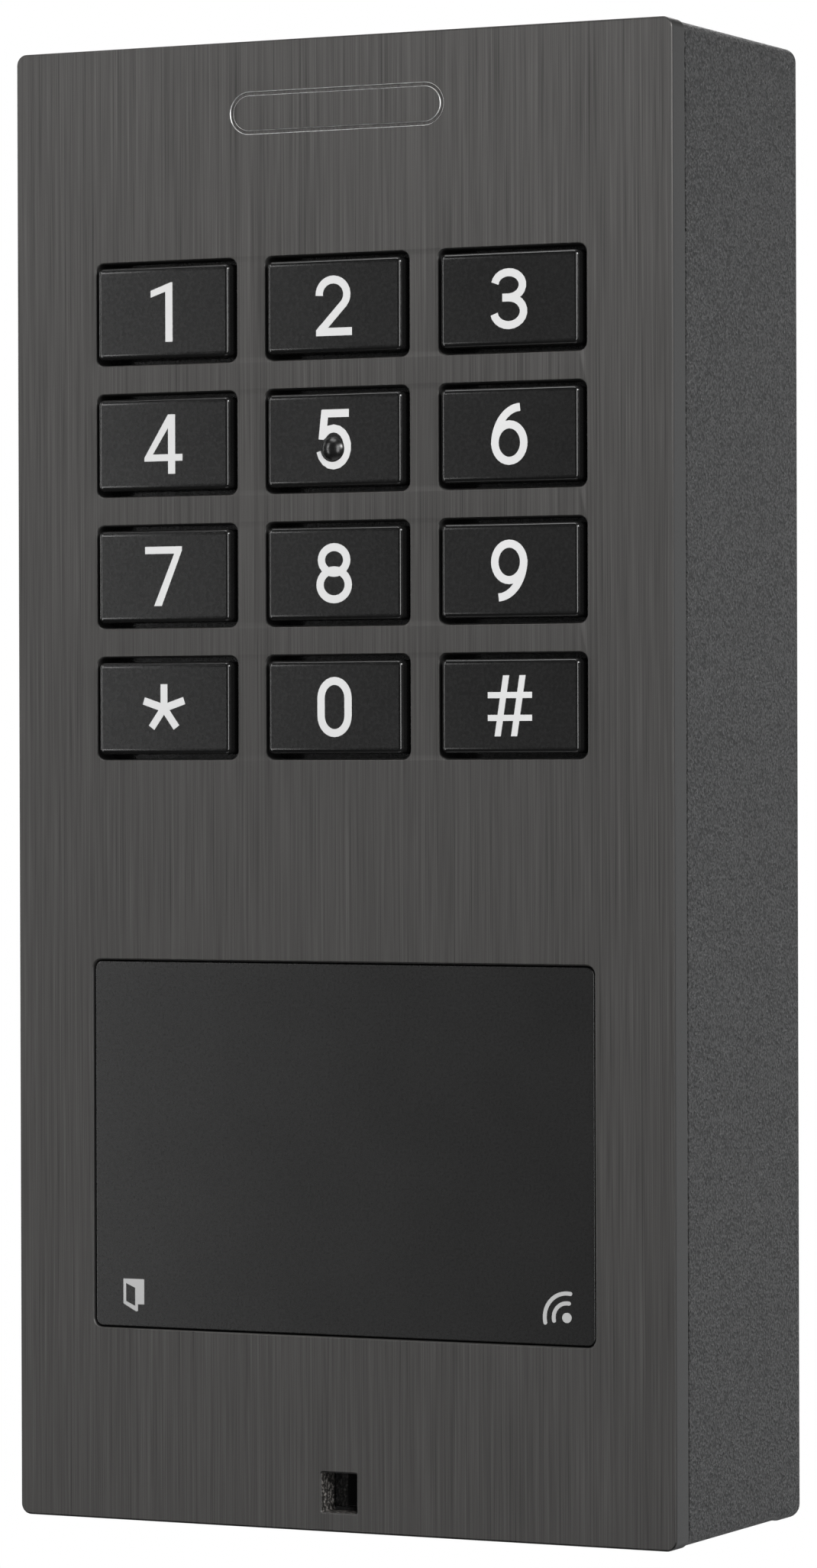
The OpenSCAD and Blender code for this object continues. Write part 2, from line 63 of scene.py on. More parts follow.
# What the frame can't tell: radii and gaps of the openings
PLATE_R = 1.2 * MM
KEY_R = 0.6 * MM
KEY_GAP = 0.56 * MM
KEY_HOLE_R = 0.9 * MM
KEY_EDGE = 0.45 * MM
KEY_RISE = 0.75 * MM
KEY_FLANGE = 1.6 * MM  # how much wider the flange behind the plate is than the keycap
STEM_R = 1.7 * MM
STEM_H = 1.9 * MM
DOT = {"x": -0.15 * MM, "z": -1 * MM, "r": 1.4 * MM, "rise": 0.7 * MM}
WINDOW_GAP = 0.15 * MM
WINDOW_R = 1 * MM
WINDOW_FLANGE = 3 * MM  # how much wider the flange behind the plate is than the window
APERTURE = 4.3 * MM
APERTURE_X = -0.15 * MM
APERTURE_Z = -77.2 * MM
FIELD = {"w": 26 * MM, "h": 4.6 * MM, "z": 73.6 * MM, "line": 0.35 * MM, "depth": 0.2 * MM}


# --- Mesh tools ---------------------------------------------------------------

def rounded(w, h, r, cx=0.0, cz=0.0, steps=ARC_STEPS):
    """Points of a rounded rectangle in the X-Z plane, anticlockwise seen from the front."""
    r = min(r, w / 2, h / 2)
    points = []
    for quarter, (sx, sz) in enumerate([(1, 1), (-1, 1), (-1, -1), (1, -1)]):
        for step in range(steps + 1):
            a = math.radians(90 * quarter + 90 * step / steps)
            points.append((cx + sx * (w / 2 - r) + r * math.cos(a),
                           cz + sz * (h / 2 - r) + r * math.sin(a)))
    return points


def box_outline(node):
    low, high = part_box(node)
    return high.x - low.x, high.z - low.z, (low.x + high.x) / 2, (low.z + high.z) / 2


class Shape:
    """Collects loops and faces of one closed mesh."""

    def __init__(self):
        self.bm = bmesh.new()

    def loop(self, points, y):
        return [self.bm.verts.new((x, y, z)) for x, z in points]

    def band(self, a, b):
        n = len(a)
        for i in range(n):
            self.bm.faces.new((a[i], a[(i + 1) % n], b[(i + 1) % n], b[i]))

    def cap(self, loops):
        verts = [v for loop in loops for v in loop]
        polygons = [[Vector((v.co.x, v.co.z, 0)) for v in loop] for loop in loops]
        for a, b, c in tessellate_polygon(polygons):
            if len({a, b, c}) == 3:
                self.bm.faces.new((verts[a], verts[b], verts[c]))

    def stack(self, outline, levels):
        """Bands through (grow, y) levels of an outline; returns the first and last loop."""
        w, h, r, cx, cz = outline
        least_r = 0.02 * MM
        return self.sleeve([(rounded(w + 2 * g, h + 2 * g, max(r + g, least_r), cx, cz), y)
                            for g, y in levels])

    def sleeve(self, sections):
        """Bands through (points, y) sections; returns the first and last loop."""
        loops = [self.loop(points, y) for points, y in sections]
        for a, b in zip(loops, loops[1:]):
            self.band(a, b)
        return loops[0], loops[-1]

    def mesh(self, name):
        bmesh.ops.remove_doubles(self.bm, verts=self.bm.verts, dist=1e-7)
        bmesh.ops.recalc_face_normals(self.bm, faces=self.bm.faces)
        mesh = bpy.data.meshes.new(name)
        self.bm.to_mesh(mesh)
        self.bm.free()
        return mesh


def round_levels(near, far, edge, far_edge, sign, steps=4):
    """(grow, y) levels of a wall from near to far with rounded edges at both ends."""
    levels = []
    for i in range(steps + 1):
        a = math.radians(90 * i / steps)
        levels.append((sign * edge * (1 - math.sin(a)), near + edge * (1 - math.cos(a))))
    for i in range(steps, -1, -1):
        a = math.radians(90 * i / steps)
        levels.append((sign * far_edge * (1 - math.sin(a)), far - far_edge * (1 - math.cos(a))))
    return levels


def add_slab(shape, outline, holes, near, far, edge, far_edge=0.05 * MM, grooves=()):
    """A slab with openings, every edge rounded, and grooves sunk in its front."""
    first, last = shape.stack(outline, round_levels(near, far, edge, far_edge, -1))
    fronts, backs = [first], [last]
    for hole in holes:
        first, last = shape.stack(hole, round_levels(near, far, edge, far_edge, 1))
        fronts.append(first)
        backs.append(last)
    for groove in grooves:
        w, h, z, line, depth = (groove[k] for k in ("w", "h", "z", "line", "depth"))
        soft = 0.06 * MM
        outer = (w, h, h / 2, 0, z)
        inner = (w - 2 * line, h - 2 * line, h / 2 - line, 0, z)
        top, low = shape.stack(outer, [(soft, near), (0, near + soft), (0, near + depth)])
        inner_top, inner_low = shape.stack(inner, [(-soft, near), (0, near + soft), (0, near + depth)])
        shape.band(low, inner_low)
        fronts.append(top)
        shape.cap([inner_top])
    shape.cap(fronts)
    shape.cap(backs)


def piece(name, mesh, body, replaces):
    obj = bpy.data.objects.new(name, mesh)
    bpy.context.scene.collection.objects.link(obj)
    for polygon in mesh.polygons:
        polygon.use_smooth = True
    mesh.set_sharp_from_angle(angle=math.radians(50))
    normals = obj.modifiers.new("even_normals", "WEIGHTED_NORMAL")
    normals.keep_sharp = True
    normals.weight = 100
    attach(obj, body)
    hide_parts(*replaces)
    return obj


def lathe(shape, profile, centre, axis="Y", steps=48):
    """Turns a closed (radius, height) profile round an axis through the centre."""
    rings = []
    for r, h in profile:
        ring = []
        for i in range(steps):
            a = 2 * math.pi * i / steps
            u, v = r * math.cos(a), r * math.sin(a)
            offset = Vector((u, h, v)) if axis == "Y" else Vector((u, v, h))
            ring.append(shape.bm.verts.new(Vector(centre) + offset))
        rings.append(ring)
    for a, b in zip(rings, rings[1:] + rings[:1]):
        shape.band(a, b)


# --- Material tools -----------------------------------------------------------

class Nodes:
    """A small helper that builds one procedural material."""

    def __init__(self, name, **values):
        self.material = bpy.data.materials.new(name)
        self.material.use_nodes = True
        self.tree = self.material.node_tree
        self.shader = self.tree.nodes["Principled BSDF"]
        for key, value in values.items():
            self.shader.inputs[key.replace("_", " ").title()].default_value = value
        self.coord = self.add("ShaderNodeTexCoord").outputs["Object"]

    def add(self, kind, **settings):
        node = self.tree.nodes.new(kind)
        for key, value in settings.items():
            setattr(node, key, value)
        return node

    def link(self, a, b):
        self.tree.links.new(a, b)

    def scaled(self, scale, offset=(0, 0, 0)):
        mapping = self.add("ShaderNodeMapping")
        mapping.inputs["Scale"].default_value = scale
        mapping.inputs["Location"].default_value = offset
        self.link(self.coord, mapping.inputs["Vector"])
        return mapping.outputs["Vector"]

    def noise(self, scale, detail=2.0, roughness=0.5, offset=(0, 0, 0), distortion=0.0):
        """Noise between 0 and 1 with scale features a metre along each axis."""
        node = self.add("ShaderNodeTexNoise")
        self.link(self.scaled(scale, offset), node.inputs["Vector"])
        node.inputs["Scale"].default_value = 1.0
        node.inputs["Detail"].default_value = detail
        node.inputs["Roughness"].default_value = roughness
        node.inputs["Distortion"].default_value = distortion
        return node.outputs["Fac"]

    def cells(self, scale, feature="F1", smoothness=0.0):
        node = self.add("ShaderNodeTexVoronoi", feature=feature)
        self.link(self.scaled(scale), node.inputs["Vector"])
        node.inputs["Scale"].default_value = 1.0
        if feature == "SMOOTH_F1":
            node.inputs["Smoothness"].default_value = smoothness
        return node.outputs["Distance"]

    def math(self, operation, a, b):
        node = self.add("ShaderNodeMath", operation=operation)
        for socket, value in zip(node.inputs, (a, b)):
            if isinstance(value, (int, float)):
                socket.default_value = value
            else:
                self.link(value, socket)
        return node.outputs[0]

    def spread(self, value, low, high, start=0.0, end=1.0):
        """Maps start..end of a value onto low..high."""
        node = self.add("ShaderNodeMapRange")
        self.link(value, node.inputs["Value"])
        for key, number in (("From Min", start), ("From Max", end), ("To Min", low), ("To Max", high)):
            node.inputs[key].default_value = number
        return node.outputs["Result"]

    def mix_colour(self, factor, a, b):
        node = self.add("ShaderNodeMix", data_type="RGBA")
        self.link(factor, node.inputs["Factor"])
        for socket, value in ((node.inputs["A"], a), (node.inputs["B"], b)):
            if isinstance(value, tuple):
                socket.default_value = (*value, 1)
            else:
                self.link(value, socket)
        return node.outputs["Result"]

    def colour(self, value):
        self.link(value, self.shader.inputs["Base Color"])

    def roughness(self, value):
        self.link(value, self.shader.inputs["Roughness"])

    def bump(self, height, distance, strength=1.0):
        """Raises the surface by distance metres where height is 1."""
        node = self.add("ShaderNodeBump")
        node.inputs["Strength"].default_value = strength
        node.inputs["Distance"].default_value = distance
        self.link(height, node.inputs["Height"])
        self.link(node.outputs["Normal"], self.shader.inputs["Normal"])


def grey(value, warm=0.0):
    return (value * (1 + warm), value, value * (1 - warm))


def brushed_plate():
    """Dark anodised metal with fine vertical brushing on its front."""
    m = Nodes("brushed_plate", Metallic=1.0, Anisotropic=0.9)
    fine = m.noise((10000, 10000, 60), 2, 0.6)
    lines = m.noise((5000, 5000, 30), 2, 0.5, (11, 5, 2))
    streak = m.math("ADD", m.math("MULTIPLY", fine, 0.6), m.math("MULTIPLY", lines, 0.4))
    m.colour(m.mix_colour(m.spread(streak, 0, 1, 0.3, 0.7), grey(0.038, 0.025), grey(0.086, 0.025)))
    m.roughness(m.spread(streak, 0.41, 0.49, 0.3, 0.7))
    m.bump(streak, 0.006 * MM, 0.6)
    return m.material


def plate_edge():
    """The plate's sides and cut edges: the same coating over a smooth milled face."""
    m = Nodes("plate_edge", Metallic=0.7)
    cloud = m.noise((150, 150, 40), 3, 0.5)
    fine = m.noise((3000, 3000, 3000), 2, 0.5)
    m.colour(m.mix_colour(cloud, grey(0.05, 0.02), grey(0.058, 0.02)))
    m.roughness(m.spread(fine, 0.4, 0.5))
    m.bump(fine, 0.004 * MM, 0.3)
    return m.material


def cut_wall():
    """The rough wall of the square opening: dark, with torn light specks."""
    m = Nodes("cut_wall", Metallic=0.3)
    specks = m.noise((2200, 2200, 2200), 3, 0.65)
    m.colour(m.mix_colour(m.spread(specks, 0, 1, 0.48, 0.66), grey(0.01, 0.08), grey(0.22, 0.06)))
    m.roughness(m.spread(specks, 0.7, 0.45, 0.3, 0.7))
    m.bump(specks, 0.15 * MM)
    return m.material


def bare_metal():
    """The bright metal that an engraved line lays open."""
    m = Nodes("bare_metal", Metallic=1.0)
    cuts = m.noise((2500, 2500, 2500), 2, 0.5)
    m.colour(m.mix_colour(m.spread(cuts, 0, 1, 0.3, 0.7), grey(0.45), grey(0.8)))
    m.roughness(m.spread(cuts, 0.35, 0.55))
    m.bump(cuts, 0.02 * MM)
    return m.material


def shade_painted_wall():
    """The unbrushed walls inside the openings, painted near-black as the shade that falls in the gaps round
    the keys and the window.
    """
    m = Nodes("shade_painted_wall", Metallic=0.2)
    fine = m.noise((3000, 3000, 3000), 2, 0.5)
    # Painted shade: the colour is kept near-black so the hole walls read as shaded gaps.
    m.colour(m.mix_colour(fine, grey(0.006, 0.02), grey(0.014, 0.02)))
    m.roughness(m.spread(fine, 0.5, 0.65))
    m.bump(fine, 0.01 * MM)
    return m.material


def grain_and_painted_shade(name, dark, light, height, rough):
    """Moulded plastic with a fine leather grain: small pebbles with creases between them; its colour is
    partly the grain's own tone and partly painted shade in the creases and painted highlight on the pebble
    tops.
    """
    m = Nodes(name)
    pebbles = m.cells((2900, 2900, 2900), "SMOOTH_F1", 0.4)
    creases = m.noise((3400, 3400, 3400), 3, 0.6, (4, 4, 4), 0.4)
    grain = m.math("SUBTRACT", m.math("MULTIPLY", creases, 1.6), pebbles)
    # Painted shade and highlight: the colour runs dark in the creases and light on the pebble tops, as
    # grazing light would shade the grain.
    m.colour(m.mix_colour(m.spread(grain, 0, 1, 0.05, 0.75), dark, light))
    m.roughness(m.spread(grain, rough + 0.08, rough - 0.08, 0.05, 0.75))
    m.bump(grain, height)
    return m.material


def satin(name, low, high, rough, height=0.006 * MM, scale=2600, **values):
    """Moulded plastic with a very fine spark grain."""
    m = Nodes(name, **values)
    grain = m.noise((scale,) * 3, 3, 0.6)
    cloud = m.noise((90, 90, 90), 2, 0.5, (2, 8, 5))
    m.colour(m.mix_colour(m.spread(cloud, 0, 1, 0.3, 0.7), low, high))
    m.roughness(m.spread(grain, rough - 0.03, rough + 0.03, 0.3, 0.7))
    m.bump(grain, height, 0.8)
    return m.material


def metal(name, colour, rough, stretch=(900, 900, 900)):
    m = Nodes(name, Metallic=1.0)
    lines = m.noise(stretch, 3, 0.6)
    cloud = m.noise((120, 120, 120), 2, 0.5)
    dark = tuple(c * 0.85 for c in colour)
    m.colour(m.mix_colour(cloud, dark, colour))
    m.roughness(m.spread(lines, rough - 0.07, rough + 0.07, 0.3, 0.7))
    m.bump(lines, 0.004 * MM, 0.5)
    return m.material


def circuit_board():
    """Green solder mask over copper tracks."""
    m = Nodes("circuit_board", Coat_weight=0.4)
    tracks = m.cells((420, 420, 420), "DISTANCE_TO_EDGE")
    line = m.spread(tracks, 1, 0, 0.03, 0.06)
    weave = m.noise((2500, 2500, 2500), 2, 0.5)
    m.colour(m.mix_colour(line, (0.012, 0.09, 0.045), (0.03, 0.17, 0.09)))
    m.roughness(m.spread(weave, 0.25, 0.4))
    m.bump(line, 0.03 * MM, 0.5)
    return m.material


MATERIALS = {
    "plate_coating": brushed_plate(),
    "zinc_steel": metal("zinc_steel", (0.62, 0.63, 0.65), 0.32),
    "brass_parts": metal("brass_parts", (0.66, 0.48, 0.2), 0.3),
    "black_rubber": satin("black_rubber", grey(0.006), grey(0.011), 0.75, 0.02 * MM, 1800),
    "window_plastic": satin("window_plastic", grey(0.0055), grey(0.0075), 0.28, 0.003 * MM, 4000),
    "white_print": satin("white_print", grey(0.53), grey(0.57), 0.5, 0.002 * MM, 5000),
    "light_body": satin("light_body", grey(0.75), grey(0.85), 0.3),
    "circuit_board": circuit_board(),
    "copper_track": metal("copper_track", (0.72, 0.38, 0.2), 0.3),
    "ferrite": satin("ferrite", grey(0.02), grey(0.035), 0.6),
    "lens_acrylic": satin("lens_acrylic", grey(0.001), grey(0.0015), 0.06, 0.0005 * MM),
    "key_plastic": satin("key_plastic", grey(0.004), grey(0.006), 0.27, 0.004 * MM),
    "silicone": satin("silicone", grey(0.45), grey(0.52), 0.55),
    "frame_plastic": satin("frame_plastic", grey(0.012), grey(0.02), 0.5, 0.015 * MM, 1500),
    "capacitor_sleeve": satin("capacitor_sleeve", (0.01, 0.012, 0.03), (0.012, 0.018, 0.05), 0.25),
    "relay_case": satin("relay_case", (0.02, 0.05, 0.2), (0.025, 0.07, 0.28), 0.35),
    "terminal_plastic": satin("terminal_plastic", (0.02, 0.13, 0.06), (0.03, 0.18, 0.08), 0.45),
    "ivory_plastic": satin("ivory_plastic", (0.68, 0.64, 0.52), (0.76, 0.72, 0.6), 0.4),
    # The housing's grain is coloured dark in its creases as painted shade and light on its tops as painted
    # highlight.
    "housing_plastic": grain_and_painted_shade("housing_plastic", grey(0.004), grey(0.05), 0.3 * MM, 0.45),
    "security_steel": metal("security_steel", (0.55, 0.55, 0.56), 0.28),
}
EDGE = plate_edge()
CUT_WALL = cut_wall()
# The walls in the key and window openings are painted near-black as shade.
SHADE_PAINTED_WALL = shade_painted_wall()
BARE_METAL = bare_metal()
KEY_GLOSS = satin("key_gloss", grey(0.004), grey(0.006), 0.17, 0.001 * MM)
SYMBOL_PRINT = satin("symbol_print", grey(0.34), grey(0.37), 0.5, 0.002 * MM, 5000)


def paint(obj, *materials):
    obj.data.materials.clear()
    for material in materials:
        obj.data.materials.append(material)


for part in frame["record"]["subparts"]:
    paint(frame["nodes"][part["node"]], MATERIALS[part["material_slot"]])
for symbol in ("door_symbol", "wave_symbol"):
    paint(frame["nodes"][symbol], SYMBOL_PRINT)


# --- Front plate --------------------------------------------------------------

def key_outline(name):
    """The keycap's own outline: its node also holds the wider flange behind the plate."""
    w, h, cx, cz = box_outline("key_" + name)
    return w - KEY_FLANGE, h - KEY_FLANGE, KEY_R, cx, cz


def build_plate():
    shape = Shape()
    holes = []
    for name in KEY_NAMES:
        w, h, _, cx, cz = key_outline(name)
        holes.append((w + 2 * KEY_GAP, h + 2 * KEY_GAP, KEY_HOLE_R, cx, cz))
    w, h, cx, cz = box_outline("reader_window")
    holes.append((w - WINDOW_FLANGE, h - WINDOW_FLANGE, WINDOW_R, cx, cz))
    holes.append((APERTURE, APERTURE, 0.15 * MM, APERTURE_X, APERTURE_Z))
    add_slab(shape, (PLATE_W, PLATE_H, PLATE_R, 0, 0), holes, FRONT, PLATE_HIGH.y,
             0.2 * MM, 0.15 * MM, [FIELD])
    obj = piece("plate_shell", shape.mesh("plate_shell"), "reader", ["front_plate"])
    paint(obj, MATERIALS["plate_coating"], EDGE, CUT_WALL, BARE_METAL, SHADE_PAINTED_WALL)
    for polygon in obj.data.polygons:
        polygon.material_index = plate_finish(polygon)


def plate_finish(polygon):
    """The finish of a plate face: 0 brushed, 1 edge, 2 rough cut, 3 engraved line, 4 wall painted dark as
    shade.
    """
    x, y, z = polygon.center
    if max(abs(x - APERTURE_X), abs(z - APERTURE_Z)) < APERTURE / 2 + 0.01 * MM:
        return 2
    facing = polygon.normal.y < -0.8
    if abs(z - FIELD["z"]) < FIELD["h"] / 2 + 0.1 * MM and y < FRONT + 0.25 * MM and not facing:
        return 3
    inside = abs(x) < PLATE_W / 2 - 2 * MM and abs(z) < PLATE_H / 2 - 2 * MM
    # Hole walls inside the plate get the near-black painted shade.
    if inside and polygon.normal.y > -0.3:
        return 4
    return 0 if facing else 1


build_plate()


# --- Keys ---------------------------------------------------------------------

def add_dome(shape, cx, cz, y, radius, rise):
    """A raised dot that stands on a surface at depth y."""
    ball = (radius ** 2 + rise ** 2) / (2 * rise)
    steps, sides = 6, 40
    top = shape.bm.verts.new((cx, y - rise, cz))
    widest = math.asin(radius / ball)
    rings = []
    for i in range(1, steps + 1):
        a = widest * i / steps
        ring_y = y - rise + ball * (1 - math.cos(a))
        reach = ball * math.sin(a)
        rings.append(shape.loop([(cx + reach * math.cos(t), cz + reach * math.sin(t))
                                 for t in (2 * math.pi * k / sides for k in range(sides))], ring_y))
    for k in range(sides):
        shape.bm.faces.new((top, rings[0][k], rings[0][(k + 1) % sides]))
    for a, b in zip(rings, rings[1:]):
        shape.band(a, b)
    foot = shape.loop([(v.co.x, v.co.z) for v in rings[-1]], y + 0.1 * MM)
    shape.band(rings[-1], foot)
    shape.cap([foot])


def build_key(name):
    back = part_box("key_" + name)[1].y
    w, h, r, cx, cz = key_outline(name)
    top = FRONT - KEY_RISE
    shape = Shape()
    add_slab(shape, (w, h, r, cx, cz), [], top, PLATE_HIGH.y + 0.02 * MM, KEY_EDGE)
    add_slab(shape, (w + KEY_FLANGE, h + KEY_FLANGE, 1 * MM, cx, cz), [],
             PLATE_HIGH.y, PLATE_HIGH.y + 0.9 * MM, 0.1 * MM)
    soft = 0.1 * MM
    lathe(shape, [(TIP, 0), (STEM_R - soft, 0), (STEM_R, -soft), (STEM_R, -STEM_H), (TIP, -STEM_H)],
          (cx, back, cz))
    if name == "5":
        add_dome(shape, cx + DOT["x"], cz + DOT["z"], top, DOT["r"], DOT["rise"])
    mesh = shape.mesh("keycap_" + name)
    obj = piece("keycap_" + name, mesh, f"key_{name}_unit", ["key_" + name])
    paint(obj, MATERIALS["key_plastic"], KEY_GLOSS)
    for polygon in obj.data.polygons:
        polygon.material_index = int(top + 0.005 * MM < polygon.center.y < top + KEY_EDGE)


for key in KEY_NAMES:
    build_key(key)


# --- Reading window -----------------------------------------------------------

def build_window():
    low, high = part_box("reader_window")
    w, h, cx, cz = box_outline("reader_window")
    shape = Shape()
    narrower = WINDOW_FLANGE + 2 * WINDOW_GAP
    face = (w - narrower, h - narrower, WINDOW_R - WINDOW_GAP, cx, cz)
    add_slab(shape, face, [], low.y, high.y - 0.99 * MM, 0.12 * MM)
    add_slab(shape, (w, h, 2 * MM, cx, cz), [], high.y - 1 * MM, high.y, 0.1 * MM)
    obj = piece("window_panel", shape.mesh("window_panel"), "reader", ["reader_window"])
    paint(obj, MATERIALS["window_plastic"])


build_window()


# --- Housing ------------------------------------------------------------------

HOUSING_R = 1.6 * MM
REAR_ROUND = 0.4 * MM
LIP_D = 4.3 * MM
WALL = 2.4 * MM
REAR_WALL = 2.8 * MM
SCREW_HOLE = {"r": 2.25 * MM, "x": 28 * MM, "z": 60 * MM}
GROMMET_HOLE_R = 7 * MM
COUNTERBORE = {"wider": 1.6 * MM, "depth": 1.2 * MM}
PLUNGER_HOLE_R = 2.55 * MM
LOCK_HOLE = {"wide_r": 2.9 * MM, "narrow_r": 1.7 * MM, "depth": 1.5 * MM}


def housing_outline(grow, lip):
    """The housing's outline; lip goes from 0 to 1 as the lip along its bottom edge comes out."""
    low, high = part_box("housing")
    bottom = -high.z + lip * (low.z + high.z) - grow
    half, top, r = high.x + grow, high.z + grow, HOUSING_R + grow
    points = []
    corners = [(1, top - r), (-1, top - r), (-1, bottom + r), (1, bottom + r)]
    for quarter, (sx, corner_z) in enumerate(corners):
        for step in range(ARC_STEPS + 1):
            a = math.radians(90 * quarter + 90 * step / ARC_STEPS)
            points.append((sx * (half - r) + r * math.cos(a), corner_z + r * math.sin(a)))
    return points


def circle_outline(radius, cx, cz):
    return 2 * radius, 2 * radius, radius, cx, cz


def build_housing():
    low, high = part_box("housing")
    w, h = high.x - low.x, 2 * high.z
    shape = Shape()
    levels = round_levels(low.y, high.y, 0.15 * MM, REAR_ROUND, -1)
    sections = [(housing_outline(grow, 1 if y > high.y - LIP_D else 0), y) for grow, y in levels]
    middle = len(levels) // 2
    ramp = [(housing_outline(0, lip), high.y - LIP_D + 1.2 * MM * (lip - 0.5)) for lip in (0, 0.5, 1)]
    outer_rim, rear_edge = shape.sleeve(sections[:middle] + ramp + sections[middle:])
    floor_y = high.y - REAR_WALL
    inner_rim, floor_edge = shape.stack((w - 2 * WALL, h - 2 * WALL, 1 * MM, 0, 0),
                                        [(0.1 * MM, low.y), (0, low.y + 0.1 * MM), (0, floor_y)])
    shape.cap([outer_rim, inner_rim])
    grommet_low, grommet_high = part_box("cable_grommet")
    cable_z = (grommet_low.z + grommet_high.z) / 2
    plunger_low, plunger_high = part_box("tamper_plunger")
    plunger = ((plunger_low.x + plunger_high.x) / 2, (plunger_low.z + plunger_high.z) / 2)
    soft = 0.2 * MM
    screw_levels = [(0, floor_y), (0, high.y - soft), (soft, high.y)]
    wider, step_y = COUNTERBORE["wider"], high.y - COUNTERBORE["depth"]
    counterbore = [(0, floor_y), (0, step_y), (wider, step_y), (wider, high.y - soft), (wider + soft, high.y)]
    walls = [(circle_outline(SCREW_HOLE["r"], sx * SCREW_HOLE["x"], sz * SCREW_HOLE["z"]), screw_levels)
             for sx in (-1, 1) for sz in (-1, 1)]
    walls.append((circle_outline(GROMMET_HOLE_R, 0, cable_z), counterbore))
    walls.append((circle_outline(PLUNGER_HOLE_R, *plunger), screw_levels))
    inner_ends, outer_ends = [floor_edge], [rear_edge]
    for outline, steps in walls:
        first, last = shape.stack(outline, steps)
        inner_ends.append(first)
        outer_ends.append(last)
    shape.cap(inner_ends)
    shape.cap(outer_ends)
    obj = piece("housing_shell", shape.mesh("housing_shell"), "reader", ["housing"])
    cut_lock_hole(obj)
    paint(obj, MATERIALS["housing_plastic"])


def cut_lock_hole(obj):
    """Sinks the security screw's hole into the bottom wall."""
    low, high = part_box("security_screw")
    x, y = (low.x + high.x) / 2, (low.y + high.y) / 2
    bottom = -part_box("housing")[1].z
    cutter = Shape()
    wide, narrow, depth, soft = LOCK_HOLE["wide_r"], LOCK_HOLE["narrow_r"], LOCK_HOLE["depth"], 0.2 * MM
    lathe(cutter, [(TIP, -1 * MM), (wide + soft, -1 * MM), (wide + soft, 0), (wide, soft),
                   (wide, depth), (narrow, depth), (narrow, 4 * MM), (TIP, 4 * MM)], (x, y, bottom), "Z")
    tool = bpy.data.objects.new("lock_cutter", cutter.mesh("lock_cutter"))
    bpy.context.scene.collection.objects.link(tool)
    cut = obj.modifiers.new("lock_hole", "BOOLEAN")
    cut.object = tool
    cut.solver = "EXACT"
    obj.modifiers.move(len(obj.modifiers) - 1, 0)
    graph = bpy.context.evaluated_depsgraph_get()
    mesh = bpy.data.meshes.new_from_object(obj.evaluated_get(graph))
    obj.modifiers.clear()
    obj.data = mesh
    bpy.data.objects.remove(tool)


build_housing()


# --- Cable grommet ------------------------------------------------------------

def build_grommet():
    low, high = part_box("cable_grommet")
    centre = ((low.x + high.x) / 2, 0, (low.z + high.z) / 2)
    back, front = high.y, low.y
    shape = Shape()
    profile = [(3 * MM, front + 0.3 * MM), (3.3 * MM, front), (7.4 * MM, front), (7.8 * MM, front + 0.3 * MM),
               (8.4 * MM, front + 1.1 * MM), (6.95 * MM, front + 1.15 * MM), (6.95 * MM, back - 1.05 * MM),
               (8.2 * MM, back - 1.05 * MM), (8.4 * MM, back - 0.85 * MM), (8.4 * MM, back - 0.2 * MM),
               (8.2 * MM, back), (4.6 * MM, back), (4.2 * MM, back - 0.3 * MM), (3.5 * MM, back - 0.3 * MM),
               (3 * MM, back - 0.6 * MM)]
    lathe(shape, profile, centre, steps=64)
    obj = piece("grommet_bush", shape.mesh("grommet_bush"), "reader", ["cable_grommet"])
    paint(obj, MATERIALS["black_rubber"])


build_grommet()


# --- CAD pieces that keep their shape: soften their edges -----------------------

def soften(node, width, angle=35):
    obj = frame["nodes"][node]
    weld = obj.modifiers.new("weld", "WELD")
    weld.merge_threshold = 1e-6
    bevel = obj.modifiers.new("soft_edges", "BEVEL")
    bevel.width = width
    bevel.segments = 2
    bevel.limit_method = "ANGLE"
    bevel.angle_limit = math.radians(angle)


soften("security_screw", 0.12 * MM)
soften("tamper_plunger", 0.25 * MM)


# --- Camera, floor and light ----------------------------------------------------

CAMERA_TURN = (26.242, 0.256, -0.176)  # yaw, pitch and roll of the view, in degrees
CAMERA_SHIFT = (-7.68 * MM, 0.07 * MM, 669.52 * MM)  # the plate's centre seen from the camera
FOCAL_PX, FRAME_H = 8050, 2053


def build_camera():
    yaw, pitch, roll = (math.radians(a) for a in CAMERA_TURN)
    view = (Matrix.Rotation(roll, 3, "Z") @ Matrix.Rotation(pitch, 3, "X") @ Matrix.Rotation(yaw, 3, "Y"))
    to_photo = Matrix(((1, 0, 0), (0, 0, -1), (0, 1, 0)))  # +X, -Z, +Y become right, down, away
    turn = view @ to_photo
    place = turn.transposed() @ -Vector(CAMERA_SHIFT) + Vector((0, FRONT, 0))
    right, down, away = turn
    data = bpy.data.cameras.new("camera")
    data.sensor_width = 36
    data.lens = FOCAL_PX / FRAME_H * 36
    data.clip_start, data.clip_end = 0.05, 20
    camera = bpy.data.objects.new("camera", data)
    bpy.context.scene.collection.objects.link(camera)
    basis = Matrix((right, -down, -away)).transposed()
    camera.matrix_world = Matrix.Translation(place) @ basis.to_4x4()
    bpy.context.scene.camera = camera


def build_floor():
    half, z = 0.5, -1.0
    mesh = bpy.data.meshes.new("floor")
    corners = [(-half, -half, z), (half, -half, z), (half, half, z), (-half, half, z)]
    mesh.from_pydata(corners, [], [(0, 1, 2, 3)])
    floor = bpy.data.objects.new("floor", mesh)
    bpy.context.scene.collection.objects.link(floor)
    m = Nodes("floor", Roughness=0.9)
    m.colour(m.mix_colour(m.noise((8, 8, 8), 2, 0.5), grey(0.82), grey(0.86)))
    paint(floor, m.material)


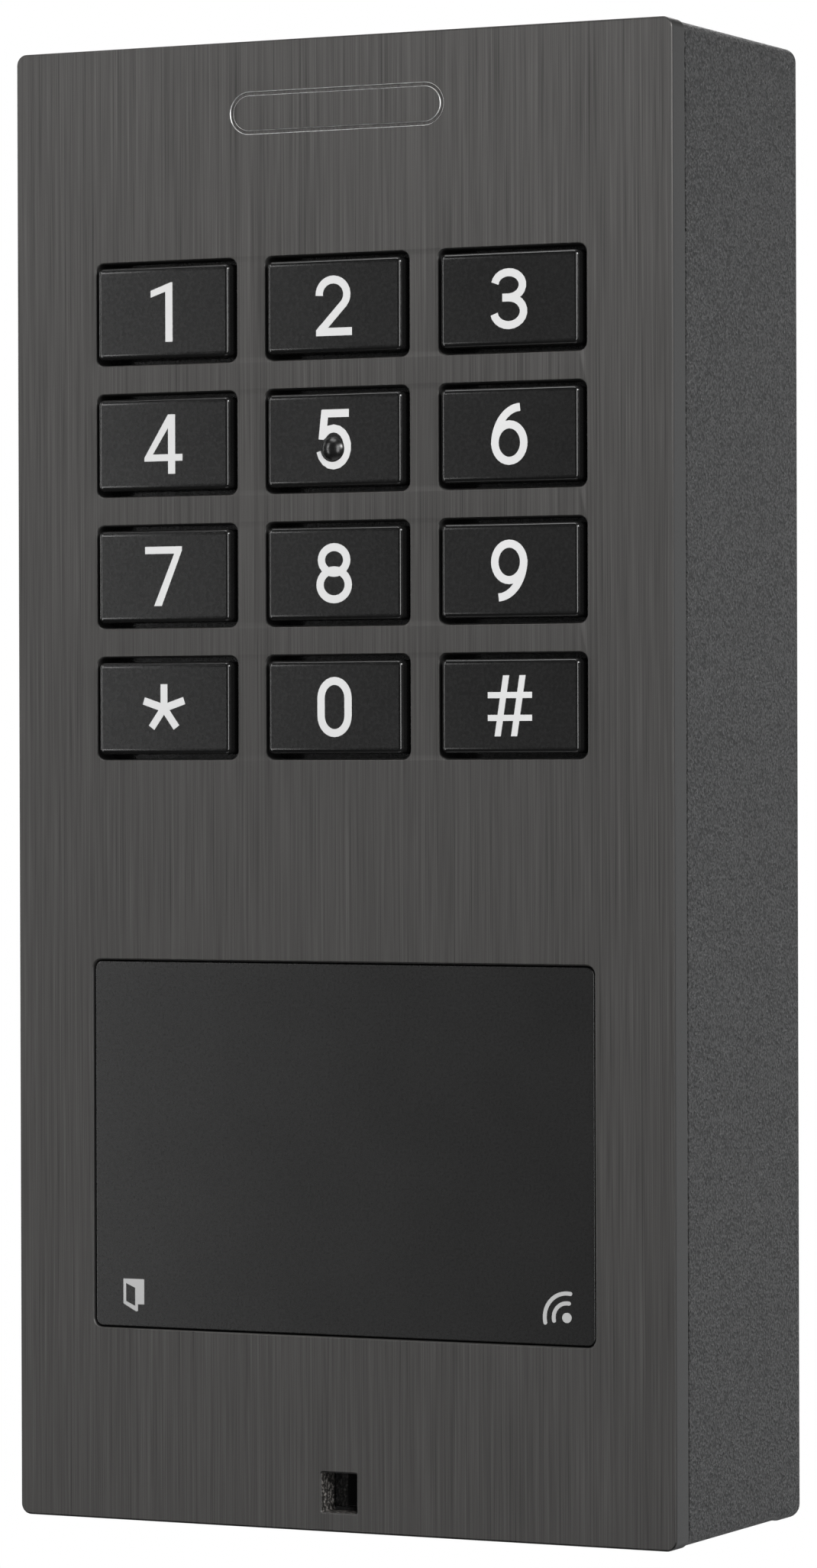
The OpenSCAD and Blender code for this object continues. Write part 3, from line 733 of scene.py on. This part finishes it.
def softbox(name, turn, rise, distance, size, power, colour=(1, 1, 1)):
    """A soft light that faces the reader, turned to the right of its front axis and raised."""
    turn, rise = math.radians(turn), math.radians(rise)
    level = math.cos(rise)
    place = distance * Vector((level * math.sin(turn), -level * math.cos(turn), math.sin(rise)))
    data = bpy.data.lights.new(name, "AREA")
    data.shape = "RECTANGLE"
    data.size, data.size_y = size
    data.energy = power
    data.color = colour
    light = bpy.data.objects.new(name, data)
    bpy.context.scene.collection.objects.link(light)
    light.visible_camera = False
    light.location = place
    light.rotation_euler = (-place).to_track_quat("-Z", "Y").to_euler()


def build_world():
    """White where the camera sees past the object, and a faint even light from all round."""
    world = bpy.data.worlds.new("studio")
    world.use_nodes = True
    bpy.context.scene.world = world
    tree = world.node_tree
    tree.nodes.clear()
    seen = tree.nodes.new("ShaderNodeBackground")
    lit = tree.nodes.new("ShaderNodeBackground")
    seen.inputs["Color"].default_value = (1, 1, 1, 1)
    lit.inputs["Color"].default_value = (1, 1, 1, 1)
    lit.inputs["Strength"].default_value = 0.03
    path = tree.nodes.new("ShaderNodeLightPath")
    mix = tree.nodes.new("ShaderNodeMixShader")
    out = tree.nodes.new("ShaderNodeOutputWorld")
    tree.links.new(path.outputs["Is Camera Ray"], mix.inputs["Fac"])
    tree.links.new(lit.outputs[0], mix.inputs[1])
    tree.links.new(seen.outputs[0], mix.inputs[2])
    tree.links.new(mix.outputs[0], out.inputs["Surface"])


build_camera()
build_floor()
build_world()
# Front lights, then the ones that only the top, the left, the back, the bottom and the right side catch
softbox("left_strip", -42, 5, 1.0, (0.12, 1.05), 4.5)
softbox("front_softbox", 34, 4, 1.2, (0.3, 1.05), 8.2)
softbox("over_softbox", -24, 62, 1.0, (0.6, 0.3), 3)
softbox("top_right_softbox", 62, 21, 1.0, (0.4, 0.3), 11)
softbox("overhead_softbox", 180, 78, 0.8, (0.8, 0.5), 4)
softbox("left_softbox", -96, 12, 0.9, (0.3, 0.6), 5)
softbox("back_softbox", -155, 25, 0.8, (0.4, 0.5), 2)
softbox("low_softbox", -150, -50, 0.8, (0.4, 0.4), 1.5)
softbox("rear_softbox", 150, 0, 0.4, (0.2, 0.5), 0.14, (0.96, 0.98, 1))
softbox("rear_low_softbox", 158, -10, 0.3, (0.2, 0.4), 0.135, (0.96, 0.98, 1))
bpy.context.scene.view_settings.view_transform = "Standard"
